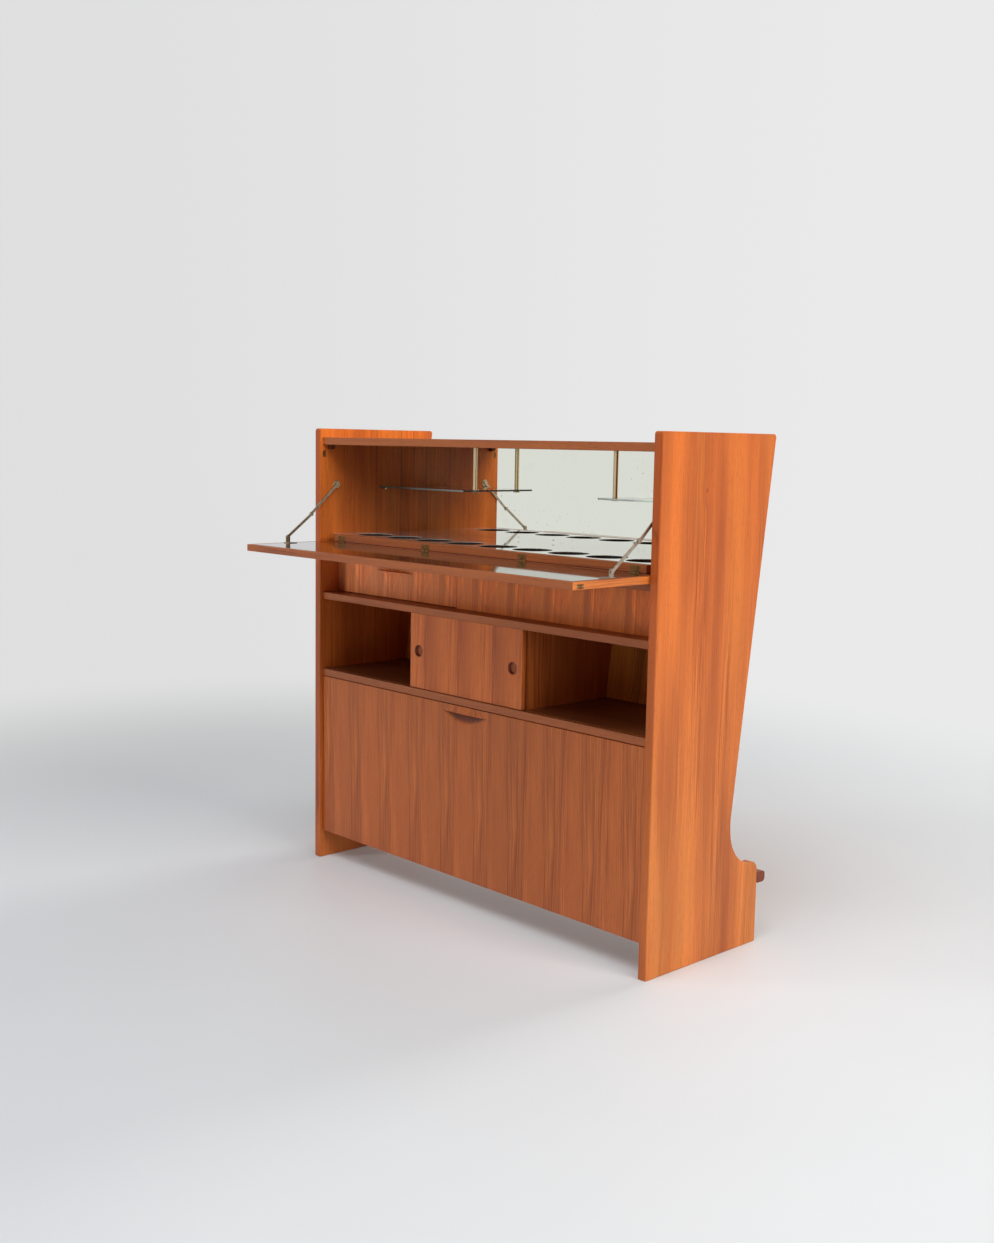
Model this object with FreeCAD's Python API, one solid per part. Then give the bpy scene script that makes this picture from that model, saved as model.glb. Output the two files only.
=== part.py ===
import FreeCAD, Part
import math
import os
from FreeCAD import Vector

# Teak bar cabinet with a fold-out serving shelf.  Millimetres, +Z up.
# X runs along the bar, y = 0 is the front edge of the side panels on the
# bartender's side and +Y points to the guests.  Every node is written in one
# frame whose origin is the bottom centre of the whole bounding box, taken with
# the serving flap folded out.

# ---- driving dimensions ---------------------------------------------------
# carcase
WIDTH = 1130.0
HEIGHT = 1100.0
SIDE_T = 21.0
TOP_DEPTH = 368.0
SPRING_Y, SPRING_Z = 263.68, 299.0
HOLLOW_RADII = (150.0, 87.0, 12.0, 22.0)
HOLLOW_HEADINGS = (12.5, 76.0, 104.0, 0.0)
CORNER_R = 7.0
FOOT_R = 3.0
ARRIS = 1.5
EDGE = 0.8
SETBACK = 9.0
TOP_DROP, TOP_T = 22.0, 18.0
BACK_T = 6.0
BOTTLE_SHELF_T = 16.0
DRAWER_BAY_H = 96.0
SHELF_A_T = 17.0
BAY_H = 178.0
SHELF_B_T = 18.0
DIVIDER_X, DIVIDER_T, DIVIDER_SETBACK = 180.5, 16.0, 21.0

# serving flap
HINGE_Y = 22.5
FLAP_LEN, FLAP_T = 238.5, 16.0
FLAP_TOP_GAP, FLAP_DROP_GAP = 2.0, 1.5
END_GAP = 1.5
REAR_GAP = 0.3
LIPPING = 12.0
LAMINATE_T = 1.0
FLAP_HINGE_N, FLAP_HINGE_END = 4, 58.5

# bottle tray, mirror and glass shelves
RAIL_T, RAIL_END_GAP = 20.0, 29.0
TRAY_RISE, TRAY_T = 18.0, 12.0
HOLE_N, HOLE_D, HOLE_END, HOLE_BACK = 9, 90.0, 96.0, 60.2
CLEAT_W, CLEAT_INSET = 12.0, 17.0
MIRROR_T, MIRROR_BOARD_T, MIRROR_BACK_GAP = 4.0, 10.0, 5.0
GLASS_T, GLASS_DROP, GLASS_DEPTH = 4.0, 108.0, 117.5
GLASS_IN_LEFT, GLASS_IN_RIGHT = 213.0, 225.0
GLASS_CORNER_R, GLASS_PLAY = 6.0, 0.3
ROD_R, ROD_INSET_X, ROD_INSET_Y = 5.5, 12.0, 46.5
ROD_HEAD_R, ROD_HEAD_T, ROD_SEAT = 8.0, 3.0, 10.0
PEG_R, PEG_OUT, PEG_IN, PEG_INSET, PEG_DROP = 2.5, 10.0, 10.0, 15.0, 0.2

# sliding door
SLIDER_X, SLIDER_OVERLAP, SLIDER_SETBACK, SLIDER_T = -11.0, 8.5, 4.0, 12.0
GROOVE_W, GROOVE_A, GROOVE_B = 6.0, 8.0, 4.5
TONGUE_PLAY, TONGUE_INSET, TONGUE_A, TONGUE_B = 0.5, 3.0, 6.5, 4.0
SLIDER_GAP = 1.0
CUP_R, CUP_MOUTH_R, CUP_FLOOR_R = 14.5, 12.8, 10.5
CUP_DEPTH, CUP_FLOOR, CUP_INSET = 8.0, 2.5, 30.0

# drawer
DRAWER_SETBACK, DRAWER_T, DRAWER_W = 47.0, 16.0, 455.0
DRAWER_GAP, DRAWER_PLAY, DRAWER_BACK_GAP = 2.0, 0.5, 22.0
DRAWER_SIDE_T, DRAWER_SIDE_H, DRAWER_SIDE_GAP = 12.0, 74.0, 1.5
DRAWER_BOTTOM_T, DRAWER_BOTTOM_LIFT, DRAWER_BACK_DROP = 5.0, 8.0, 6.0
PARTITION_T = 12.0

# drop-down door
DOOR_Z0, DOOR_T, DOOR_TOP_GAP = 71.5, 18.0, 1.7
FLOOR_LIFT, FLOOR_T = 2.5, 16.0
DOOR_FRAME_GAP = 0.6
DOOR_HINGE_N, DOOR_HINGE_END = 2, 112.5

# carved grips: half width, heights below and above the undercut, scoop and lip
GRIP_DEPTH, GRIP_SCOOP, GRIP_LIP, GRIP_RIM, GRIP_FIT = 12.0, 9.0, 4.0, 5.0, 0.1
DOOR_GRIP_HALF, DOOR_GRIP_SCOOP, DOOR_GRIP_LIP, DOOR_GRIP_TOP = 78.0, 25.0, 15.0, 16.3
DRAWER_GRIP_HALF, DRAWER_GRIP_SCOOP, DRAWER_GRIP_LIP, DRAWER_GRIP_FOOT = 73.0, 20.0, 10.0, 11.0
DRAWER_GRIP_DROP = 28.0

# butt hinges
HINGE_L, KNUCKLE_R, PIN_R, PIN_PLAY = 27.0, 3.0, 1.4, 0.05
LEAF_T, LEAF_W, FLAP_LEAF_W, LEAF_SINK = 1.5, 11.3, 8.5, 0.2
KNUCKLE_N, KNUCKLE_GAP, KNUCKLE_ROOM = 3, 0.3, 0.4

# folding stays: pivots from the flap's hinge line, lengths and sections
STAY_WALL_DY, STAY_WALL_DZ = 27.5, 141.5
STAY_FLAP_DY, STAY_FLAP_DZ = -125.5, 13.5
STAY_UPPER, STAY_SLACK = 108.0, 0.2
STAY_T, STAY_BAR_W, STAY_EYE_R, STAY_PIN_R, STAY_GAP = 2.0, 6.5, 5.0, 2.4, 0.5
STAY_HEAD_R, STAY_HEAD_T, STAY_PEEN, STAY_WALL_PLAY = 4.0, 0.8, 0.3, 0.1
STAY_PLATE_R, STAY_PLATE_T, STAY_PLATE_EDGE = 10.0, 2.0, 0.6
BRACKET_BASE, BRACKET_L, BRACKET_T, BRACKET_EAR_R = 22.0, 24.0, 1.5, 6.0

# catches that hold the closed flap
CATCH_REACH, CATCH_SETBACK = 218.0, 9.7
CATCH_W, CATCH_H, CATCH_T = 9.0, 16.0, 1.0
CATCH_BODY_W, CATCH_BODY_H, CATCH_BODY_T = 6.0, 10.0, 9.0
NIB_R, NIB_OUT = 1.6, 1.2
STRIKE_H, STRIKE_HOLE_R = 18.0, 1.8

# corner blocks that stop the closed flap
STOP_W, STOP_DEPTH, STOP_H, STOP_CORNER = 14.0, 13.0, 11.0, 3.0

# guests' foot rail
RAIL_DEPTH, RAIL_H, RAIL_DROP, RAIL_FRONT_R, RAIL_REAR_R = 28.0, 24.0, 6.0, 4.0, 8.0
DOWEL_R, DOWEL_IN, DOWEL_RAIL = 4.0, 18.0, 15.0

FIT = 0.05
CUT = 1.0
FLATS = 16

# ---- derived --------------------------------------------------------------
HALF = WIDTH / 2
INNER = HALF - SIDE_T
TOP_Z0 = HEIGHT - TOP_DROP - TOP_T
HINGE_Z = TOP_Z0 - FLAP_TOP_GAP - FLAP_LEN
BOTTLE_SHELF_Z1 = HINGE_Z - FLAP_T - FLAP_DROP_GAP
BOTTLE_SHELF_Z0 = BOTTLE_SHELF_Z1 - BOTTLE_SHELF_T
SHELF_A_Z1 = BOTTLE_SHELF_Z0 - DRAWER_BAY_H
SHELF_A_Z0 = SHELF_A_Z1 - SHELF_A_T
SHELF_B_Z1 = SHELF_A_Z0 - BAY_H
SHELF_B_Z0 = SHELF_B_Z1 - SHELF_B_T
REAR_LEAN = (TOP_DEPTH - SPRING_Y) / (HEIGHT - SPRING_Z)

FLAP_HALF = INNER - END_GAP
FLAP_Y0 = HINGE_Y - FLAP_LEN
FLAP_Y1 = HINGE_Y - REAR_GAP
RAIL_FACE = HINGE_Y + REAR_GAP
TRAY_Y0 = RAIL_FACE + RAIL_T
TRAY_Z1 = HINGE_Z + TRAY_RISE
TRAY_Z0 = TRAY_Z1 - TRAY_T

DOOR_Z1 = SHELF_B_Z0 - DOOR_TOP_GAP
DOOR_REAR = SETBACK + DOOR_T
DOOR_AXIS = (DOOR_REAR + DOOR_FRAME_GAP / 2, DOOR_Z0)
FLOOR_Y0 = DOOR_REAR + DOOR_FRAME_GAP
FLOOR_Z0 = DOOR_Z0 + FLOOR_LIFT
FLOOR_Z1 = FLOOR_Z0 + FLOOR_T

SLIDER_HALF = DIVIDER_X + SLIDER_OVERLAP
SLIDER_Y0 = SETBACK + SLIDER_SETBACK
GROOVE_Y0 = SLIDER_Y0 + (SLIDER_T - GROOVE_W) / 2
CUP_Z = (SHELF_B_Z1 + SHELF_A_Z0) / 2
CUP_XS = (SLIDER_X - SLIDER_HALF + CUP_INSET, SLIDER_X + SLIDER_HALF - CUP_INSET)

DRAWER_Y0 = SETBACK + DRAWER_SETBACK
DRAWER_Y1 = DRAWER_Y0 + DRAWER_T
DRAWER_Z0 = SHELF_A_Z1 + DRAWER_GAP
DRAWER_Z1 = BOTTLE_SHELF_Z0 - DRAWER_GAP
DRAWER_X0 = -INNER + END_GAP
DRAWER_X1 = DRAWER_X0 + DRAWER_W
FASCIA_X0 = DRAWER_X1 + 2 * DRAWER_PLAY
BOX_X0 = DRAWER_X0 + DRAWER_SIDE_GAP
BOX_X1 = DRAWER_X1 - DRAWER_SIDE_GAP
BOX_Z0 = SHELF_A_Z1 + DRAWER_PLAY
BOX_Z1 = BOX_Z0 + DRAWER_SIDE_H

DOOR_GRIP_Z = DOOR_Z1 - DOOR_GRIP_TOP
DRAWER_GRIP_Z = DRAWER_Z1 - DRAWER_GRIP_DROP
DRAWER_GRIP_X = (DRAWER_X0 + DRAWER_X1) / 2

STAY_WALL = (HINGE_Y + STAY_WALL_DY, HINGE_Z + STAY_WALL_DZ)
STAY_FLAP = (HINGE_Y + STAY_FLAP_DY, HINGE_Z + STAY_FLAP_DZ)
UPPER_X = INNER - STAY_PLATE_T - STAY_GAP - STAY_T
LOWER_X = UPPER_X - STAY_GAP - STAY_T
EAR_X = LOWER_X - STAY_GAP - STAY_T

CATCH_Y, CATCH_Z = HINGE_Y - CATCH_SETBACK, HINGE_Z + CATCH_REACH
STRIKE_Y, STRIKE_Z = HINGE_Y - CATCH_REACH, HINGE_Z - CATCH_SETBACK
CATCH_OUTLINE = (CATCH_W, CATCH_H)
STRIKE_OUTLINE = (STRIKE_H, CATCH_W)


# ---- small helpers --------------------------------------------------------
def box(x0, x1, y0, y1, z0, z1):
    return Part.makeBox(x1 - x0, y1 - y0, z1 - z0, Vector(x0, y0, z0))


def plate_at(x0, x1, y, z, outline, room=0.0):
    """Flat plate across X, its outline (along Y, along Z) centred on (y, z)."""
    half_y, half_z = outline[0] / 2 + room, outline[1] / 2 + room
    return box(x0, x1, y - half_y, y + half_y, z - half_z, z + half_z)


def pin(start, end, r):
    """Small turned hardware between two points, drawn with flats to stay light."""
    axis = end - start
    steps = [2 * math.pi * i / FLATS for i in range(FLATS + 1)]
    rim = Part.makePolygon([Vector(r * math.cos(a), r * math.sin(a), 0) for a in steps])
    shape = Part.Face(rim).extrude(Vector(0, 0, axis.Length))
    shape.Placement = FreeCAD.Placement(start, FreeCAD.Rotation(Vector(0, 0, 1), axis))
    return shape


def pin_x(x0, x1, y, z, r):
    return pin(Vector(x0, y, z), Vector(x1, y, z), r)


def pin_z(x, y, z0, z1, r):
    return pin(Vector(x, y, z0), Vector(x, y, z1), r)


def rod_x(x0, x1, y, z, r):
    return Part.makeCylinder(r, x1 - x0, Vector(x0, y, z), Vector(1, 0, 0))


def rod_y(x, y0, y1, z, r):
    return Part.makeCylinder(r, y1 - y0, Vector(x, y0, z), Vector(0, 1, 0))


def rod_z(x, y, z0, z1, r):
    return Part.makeCylinder(r, z1 - z0, Vector(x, y, z0), Vector(0, 0, 1))


def prism(points, x0, x1):
    """A closed outline given as (y, z) points, drawn out along X."""
    loop = [Vector(x0, y, z) for y, z in points]
    wire = Part.makePolygon(loop + loop[:1])
    return Part.Face(wire).extrude(Vector(x1 - x0, 0, 0))


def mirrored(shape):
    return shape.mirror(Vector(0, 0, 0), Vector(1, 0, 0))


def pair(shape):
    return Part.Compound([shape, mirrored(shape)])


def fuse(shapes):
    out = shapes[0]
    for shape in shapes[1:]:
        out = out.fuse(shape)
    return out.removeSplitter()


def rounded(shape, radius, chosen):
    return shape.makeFillet(radius, [e for e in shape.Edges if chosen(e.CenterOfMass, e)])


def eased(shape, width, chosen):
    return shape.makeChamfer(width, [e for e in shape.Edges if chosen(e.CenterOfMass, e)])


def spread(count, half):
    """Evenly spaced places from -half to +half."""
    return [half * (2 * i / (count - 1) - 1) for i in range(count)]


def rear_y(z):
    """Rear edge of the side panels: straight, leaning forward going down."""
    return TOP_DEPTH - REAR_LEAN * (HEIGHT - z)


def back_y(z):
    """Inner face of the back panel."""
    return rear_y(z) - BACK_T


def board(x0, x1, y0, z0, z1):
    """A board from y0 to the leaning back, its two front arrises eased."""
    shape = prism([(y0, z0), (y0, z1), (back_y(z1), z1), (back_y(z0), z0)], x0, x1)
    return eased(shape, EDGE, lambda c, e: abs(c.y - y0) < EDGE and abs(c.x * 2 - x0 - x1) < EDGE)


MIRROR_BACK = back_y(BOTTLE_SHELF_Z1) - MIRROR_BACK_GAP
TRAY_Y1 = MIRROR_BACK - MIRROR_BOARD_T
MIRROR_Y = TRAY_Y1 - MIRROR_T
HOLE_Y = TRAY_Y0 + HOLE_BACK
GLASS_Z0 = TOP_Z0 - GLASS_DROP
GLASS_Y1 = MIRROR_Y - REAR_GAP
GLASS_Y0 = GLASS_Y1 - GLASS_DEPTH
ROD_Y = GLASS_Y0 + ROD_INSET_Y
PEG_YS = (GLASS_Y0 + PEG_INSET, GLASS_Y1 - PEG_INSET)
PEG_Z = GLASS_Z0 - PEG_DROP - PEG_R
BOX_Y1 = back_y(SHELF_A_Z1) - DRAWER_BACK_GAP


# ---- side panels ----------------------------------------------------------
def arc_chain(start, heading, radii, headings):
    """Tangent arcs in the (y, z) plane, each turning to the next heading.

    A heading is counted in degrees from straight down towards +Y.
    """
    curves, here = [], start
    for radius, target in zip(radii, headings):
        steps = [math.radians(heading + (target - heading) * k) for k in (0, 0.5, 1)]
        turn = radius if target > heading else -radius
        points = [(here[0] + turn * (math.cos(steps[0]) - math.cos(s)),
                   here[1] - turn * (math.sin(s) - math.sin(steps[0]))) for s in steps]
        curves.append(points)
        here, heading = points[-1], target
    return curves


FOOT_CURVES = arc_chain((SPRING_Y, SPRING_Z), -math.degrees(math.atan(REAR_LEAN)),
                        HOLLOW_RADII, HOLLOW_HEADINGS)
FOOT_DEPTH, NOSE_Z = FOOT_CURVES[-1][-1]
RAIL_Y1 = FOOT_DEPTH + RAIL_DEPTH
RAIL_Z1 = NOSE_Z - RAIL_DROP
RAIL_Z0 = RAIL_Z1 - RAIL_H
DOWEL_Z = (RAIL_Z0 + RAIL_Z1) / 2
FRAME_Y = (FLAP_Y0 + RAIL_Y1) / 2


def side_outline(x):
    """Side panel outline: leaning rear edge, foot hollow and rounded foot nose."""
    def v(p):
        return Vector(x, p[0], p[1])

    edges = [Part.Arc(*[v(p) for p in points]).toShape() for points in FOOT_CURVES]
    corners = [(FOOT_DEPTH, NOSE_Z), (FOOT_DEPTH, 0), (0, 0), (0, HEIGHT),
               (TOP_DEPTH, HEIGHT), (SPRING_Y, SPRING_Z)]
    edges += [Part.makeLine(v(a), v(b)) for a, b in zip(corners, corners[1:])]
    return Part.Wire(edges)


def side_panel():
    """Right-hand side panel with its blind seats; the left one is its mirror."""
    shape = Part.Face(side_outline(INNER)).extrude(Vector(SIDE_T, 0, 0))
    middle = INNER + SIDE_T / 2

    def across(c):
        return abs(c.x - middle) < CUT

    shape = rounded(shape, CORNER_R, lambda c, e: across(c) and c.z > HEIGHT - CUT)
    shape = rounded(shape, FOOT_R, lambda c, e: across(c) and c.z < CUT)
    shape = eased(shape, ARRIS, lambda c, e: not across(c))
    for y in PEG_YS:
        shape = shape.cut(pin_x(INNER - CUT, INNER + PEG_IN + FIT, y, PEG_Z, PEG_R + FIT))
    shape = shape.cut(dowel(FIT))
    shape = shape.cut(plate_at(INNER - CUT, INNER + CATCH_T, CATCH_Y, CATCH_Z,
                               CATCH_OUTLINE, FIT))
    return shape.cut(catch_body(FIT))


# ---- boards of the carcase ------------------------------------------------
def top_panel():
    z0, z1 = TOP_Z0, TOP_Z0 + TOP_T
    shape = prism([(SETBACK, z0), (SETBACK, z1), (rear_y(z1), z1), (rear_y(z0), z0)],
                  -INNER, INNER)
    shape = eased(shape, EDGE, lambda c, e: abs(c.x) < CUT)
    for x in (-GLASS_IN_LEFT - ROD_INSET_X, GLASS_IN_RIGHT + ROD_INSET_X):
        shape = shape.cut(pin_z(x, ROD_Y, z0 - CUT, z0 + ROD_SEAT + FIT, ROD_R + FIT))
    return shape


def back_panel():
    return prism([(back_y(FLOOR_Z0), FLOOR_Z0), (back_y(TOP_Z0), TOP_Z0),
                  (rear_y(TOP_Z0), TOP_Z0), (rear_y(FLOOR_Z0), FLOOR_Z0)], -INNER, INNER)


def groove(z0, z1):
    return box(-INNER, INNER, GROOVE_Y0, GROOVE_Y0 + GROOVE_W, z0, z1)


def shelf_upper():
    """Shelf above the open bays; its underside carries the top guide groove."""
    shape = board(-INNER, INNER, SETBACK, SHELF_A_Z0, SHELF_A_Z1)
    return shape.cut(groove(SHELF_A_Z0 - CUT, SHELF_A_Z0 + GROOVE_A))


def shelf_lower():
    """Shelf under the open bays, with the running groove of the sliding door."""
    shape = board(-INNER, INNER, SETBACK, SHELF_B_Z0, SHELF_B_Z1)
    return shape.cut(groove(SHELF_B_Z1 - GROOVE_B, SHELF_B_Z1 + CUT))


def bottom_panel():
    shape = prism([(FLOOR_Y0, FLOOR_Z0), (FLOOR_Y0, FLOOR_Z1),
                   (back_y(FLOOR_Z1), FLOOR_Z1), (back_y(FLOOR_Z0), FLOOR_Z0)],
                  -INNER, INNER)
    for x in DOOR_HINGE_XS:
        shape = shape.cut(knuckle_room(x, DOOR_AXIS))
        shape = shape.cut(door_leaf_seat(x, FLOOR_Y0 - CUT, FLOOR_Y0 + LEAF_SINK + LEAF_T))
    return shape


def divider():
    """Upright between the open bays, right-hand one."""
    y0 = SETBACK + DIVIDER_SETBACK
    return prism([(y0, SHELF_B_Z1), (y0, SHELF_A_Z0), (back_y(SHELF_A_Z0), SHELF_A_Z0),
                  (back_y(SHELF_B_Z1), SHELF_B_Z1)], DIVIDER_X - DIVIDER_T, DIVIDER_X)


def bottle_shelf():
    """Full-width board the bottles stand on; it carries rail, tray and mirror."""
    return board(-INNER, INNER, RAIL_FACE, BOTTLE_SHELF_Z0, BOTTLE_SHELF_Z1)


def fascia_fixed():
    return box(FASCIA_X0, INNER, DRAWER_Y0, DRAWER_Y1, SHELF_A_Z1, BOTTLE_SHELF_Z0)


def drawer_partition():
    z0, z1 = SHELF_A_Z1, BOTTLE_SHELF_Z0
    return prism([(DRAWER_Y1, z0), (DRAWER_Y1, z1), (back_y(z1), z1), (back_y(z0), z0)],
                 FASCIA_X0, FASCIA_X0 + PARTITION_T)


# ---- bar compartment ------------------------------------------------------
def tray_rail():
    """Solid rail the flap hangs on; it stops short of both side panels."""
    half = INNER - RAIL_END_GAP
    shape = box(-half, half, RAIL_FACE, TRAY_Y0, BOTTLE_SHELF_Z1, TRAY_Z1)
    shape = eased(shape, EDGE, lambda c, e: c.y < RAIL_FACE + EDGE and c.z > TRAY_Z1 - EDGE)
    for x in FLAP_HINGE_XS:
        shape = shape.cut(knuckle_room(x, FLAP_AXIS))
        shape = shape.cut(box(x - HINGE_L / 2 - FIT, x + HINGE_L / 2 + FIT, RAIL_FACE - CUT,
                              HINGE_Y + SUNK[1] + FIT, HINGE_Z, HINGE_Z + CLEAR + LEAF_W + FIT))
    return shape


def pierced(z0, z1):
    """One layer of the bottle tray with its row of holes."""
    shape = box(-INNER, INNER, TRAY_Y0, TRAY_Y1, z0, z1)
    for x in spread(HOLE_N, INNER - HOLE_END):
        shape = shape.cut(rod_z(x, HOLE_Y, z0 - CUT, z1 + CUT, HOLE_D / 2))
    return shape


def tray_cleat():
    return box(INNER - CLEAT_W, INNER, TRAY_Y0 + CLEAT_INSET, TRAY_Y1 - CLEAT_INSET,
               BOTTLE_SHELF_Z1, TRAY_Z0)


def mirror_board():
    return box(-INNER, INNER, TRAY_Y1, MIRROR_BACK, BOTTLE_SHELF_Z1, TOP_Z0)


def mirror():
    return box(-INNER + REAR_GAP, INNER - REAR_GAP, MIRROR_Y, TRAY_Y1,
               TRAY_Z1, TOP_Z0 - REAR_GAP)


def glass_shelf(inner):
    """Right-hand glass shelf, hung at its inner end on one rod."""
    shape = box(inner, INNER - REAR_GAP, GLASS_Y0, GLASS_Y1, GLASS_Z0, GLASS_Z0 + GLASS_T)
    shape = rounded(shape, GLASS_CORNER_R, lambda c, e: c.x < inner + CUT
                    and c.y < GLASS_Y0 + CUT and e.Length < GLASS_T + CUT)
    return shape.cut(pin_z(inner + ROD_INSET_X, ROD_Y, GLASS_Z0 - CUT,
                           GLASS_Z0 + GLASS_T + CUT, ROD_R + GLASS_PLAY))


def shelf_rod(inner):
    """Brass rod let into the top panel, its head under the glass."""
    x, z0 = inner + ROD_INSET_X, GLASS_Z0 - ROD_HEAD_T
    return fuse([pin_z(x, ROD_Y, z0, TOP_Z0 + ROD_SEAT, ROD_R),
                 pin_z(x, ROD_Y, z0, GLASS_Z0, ROD_HEAD_R)])


def shelf_pegs():
    pegs = [pin_x(INNER - PEG_OUT, INNER + PEG_IN, y, PEG_Z, PEG_R) for y in PEG_YS]
    return Part.Compound(pegs + [mirrored(peg) for peg in pegs])


# ---- butt hinges ----------------------------------------------------------
FLAP_AXIS = (HINGE_Y, HINGE_Z)
FLAP_HINGE_XS = spread(FLAP_HINGE_N, FLAP_HALF - FLAP_HINGE_END)
DOOR_HINGE_XS = spread(DOOR_HINGE_N, FLAP_HALF - DOOR_HINGE_END)
CLEAR = KNUCKLE_R + KNUCKLE_GAP
SUNK = (LEAF_SINK, LEAF_SINK + LEAF_T)
DOOR_OUT = DOOR_FRAME_GAP / 2
# leaf sections as (y0, y1, z0, z1) from the hinge line: plate, then neck
RAIL_LEAF = ((SUNK[0], SUNK[1], CLEAR, CLEAR + LEAF_W), (SUNK[0], SUNK[1], 0, CLEAR))
FLAP_LEAF = ((-CLEAR - FLAP_LEAF_W, -CLEAR, -SUNK[1], -SUNK[0]),
             (-CLEAR, 0, -SUNK[1], -SUNK[0]))
FLOOR_LEAF = ((DOOR_OUT + SUNK[0], DOOR_OUT + SUNK[1], CLEAR, CLEAR + LEAF_W),
              (DOOR_OUT + SUNK[0], DOOR_OUT + SUNK[1], 0, CLEAR))
DOOR_LEAF = ((-DOOR_OUT - SUNK[1], -DOOR_OUT - SUNK[0], CLEAR, CLEAR + LEAF_W),
             (-DOOR_OUT - SUNK[1], -DOOR_OUT - SUNK[0], 0, CLEAR))


def knuckle_room(x, axis):
    return pin_x(x - HINGE_L / 2 - KNUCKLE_GAP, x + HINGE_L / 2 + KNUCKLE_GAP,
                 axis[0], axis[1], KNUCKLE_R + KNUCKLE_ROOM)


def knuckle_spans(x):
    """The knuckle spans of one hinge, shared in turn by its two leaves."""
    length = (HINGE_L - (KNUCKLE_N - 1) * KNUCKLE_GAP) / KNUCKLE_N
    starts = [x - HINGE_L / 2 + i * (length + KNUCKLE_GAP) for i in range(KNUCKLE_N)]
    return [(start, start + length) for start in starts]


def hinge_leaves(xs, axis, sections, first):
    """The leaves on one side of a row of hinges, with every other knuckle."""
    leaves = []
    for x in xs:
        spans = knuckle_spans(x)[first::2]
        plate, neck = [[axis[0] + s[0], axis[0] + s[1], axis[1] + s[2], axis[1] + s[3]]
                       for s in sections]
        parts = [box(x - HINGE_L / 2, x + HINGE_L / 2, *plate)]
        for x0, x1 in spans:
            parts += [pin_x(x0, x1, axis[0], axis[1], KNUCKLE_R), box(x0, x1, *neck)]
        bore = pin_x(x - HINGE_L, x + HINGE_L, axis[0], axis[1], PIN_R + PIN_PLAY)
        leaves.append(fuse(parts).cut(bore))
    return Part.Compound(leaves)


def hinge_pins(xs, axis):
    return Part.Compound([rod_x(x - HINGE_L / 2, x + HINGE_L / 2, axis[0], axis[1], PIN_R)
                          for x in xs])


def door_leaf_seat(x, y0, y1):
    return box(x - HINGE_L / 2 - FIT, x + HINGE_L / 2 + FIT, y0, y1,
               DOOR_Z0 - CUT, DOOR_Z0 + CLEAR + LEAF_W + FIT)


# ---- serving flap ---------------------------------------------------------
def laminate_bed(top):
    return box(-FLAP_HALF + LIPPING, FLAP_HALF - LIPPING, FLAP_Y0 + LIPPING,
               FLAP_Y1 - LIPPING, HINGE_Z - LAMINATE_T, top)


def strike_seat(room):
    return plate_at(FLAP_HALF - CATCH_T, FLAP_HALF + room, STRIKE_Y, STRIKE_Z,
                    STRIKE_OUTLINE, min(room, FIT))


def flap_panel():
    """Teak flap, folded out; the black laminate lies in a shallow bed on top."""
    shape = box(-FLAP_HALF, FLAP_HALF, FLAP_Y0, FLAP_Y1, HINGE_Z - FLAP_T, HINGE_Z)
    shape = eased(shape, EDGE, lambda c, e: c.y < FLAP_Y1 - CUT and e.Length > FLAP_T + CUT)
    shape = shape.cut(laminate_bed(HINGE_Z + CUT))
    for x in FLAP_HINGE_XS:
        shape = shape.cut(knuckle_room(x, FLAP_AXIS))
        shape = shape.cut(box(x - HINGE_L / 2 - FIT, x + HINGE_L / 2 + FIT,
                              HINGE_Y - CLEAR - FLAP_LEAF_W - FIT, HINGE_Y,
                              HINGE_Z - SUNK[1] - FIT, HINGE_Z + CUT))
    return shape.cut(pair(strike_seat(CUT)))


def flap_strike():
    """Strike plate let into the end of the flap, with the hole of the catch."""
    hole = pin_x(FLAP_HALF - 2 * CATCH_T, FLAP_HALF + CUT, STRIKE_Y, STRIKE_Z, STRIKE_HOLE_R)
    return strike_seat(0).cut(hole)


def catch_body(room):
    return plate_at(INNER, INNER + CATCH_BODY_T + room, CATCH_Y, CATCH_Z,
                    (CATCH_BODY_W, CATCH_BODY_H), room)


def flap_catch():
    """Spring catch let into the side panel: body, face plate and nib."""
    plate = plate_at(INNER, INNER + CATCH_T, CATCH_Y, CATCH_Z, CATCH_OUTLINE)
    nib = pin_x(INNER - NIB_OUT, INNER, CATCH_Y, CATCH_Z, NIB_R)
    return fuse([catch_body(0), plate, nib])


def flap_stop():
    """Small corner block under the top panel that the closed flap rests against."""
    shape = box(INNER - STOP_W, INNER, RAIL_FACE, RAIL_FACE + STOP_DEPTH,
                TOP_Z0 - STOP_H, TOP_Z0)
    return eased(shape, STOP_CORNER, lambda c, e: c.x < INNER - STOP_W + FIT
                 and c.z < TOP_Z0 - STOP_H + FIT)


# ---- folding stays (right-hand side drawn, left mirrored) ------------------
def elbow():
    """Elbow pin of the stay with the flap folded out, sagging a little."""
    dy, dz = STAY_FLAP[0] - STAY_WALL[0], STAY_FLAP[1] - STAY_WALL[1]
    span = math.hypot(dy, dz)
    lower = span + STAY_SLACK - STAY_UPPER
    run = (STAY_UPPER ** 2 - lower ** 2 + span ** 2) / (2 * span)
    sag = math.sqrt(STAY_UPPER ** 2 - run ** 2)
    return (STAY_WALL[0] + (dy * run - dz * sag) / span,
            STAY_WALL[1] + (dz * run + dy * sag) / span)


def link(x0, a, b):
    """Flat bar between two round eyes."""
    along = Vector(0, b[0] - a[0], b[1] - a[1])
    side = Vector(0, -along.z, along.y) * (STAY_BAR_W / 2 / along.Length)
    start, end = Vector(x0, *a), Vector(x0, *b)
    loop = [start + side, end + side, end - side, start - side]
    bar = Part.Face(Part.makePolygon(loop + loop[:1])).extrude(Vector(STAY_T, 0, 0))
    return fuse([bar] + [rod_x(x0, x0 + STAY_T, *at, STAY_EYE_R) for at in (a, b)])


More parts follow.
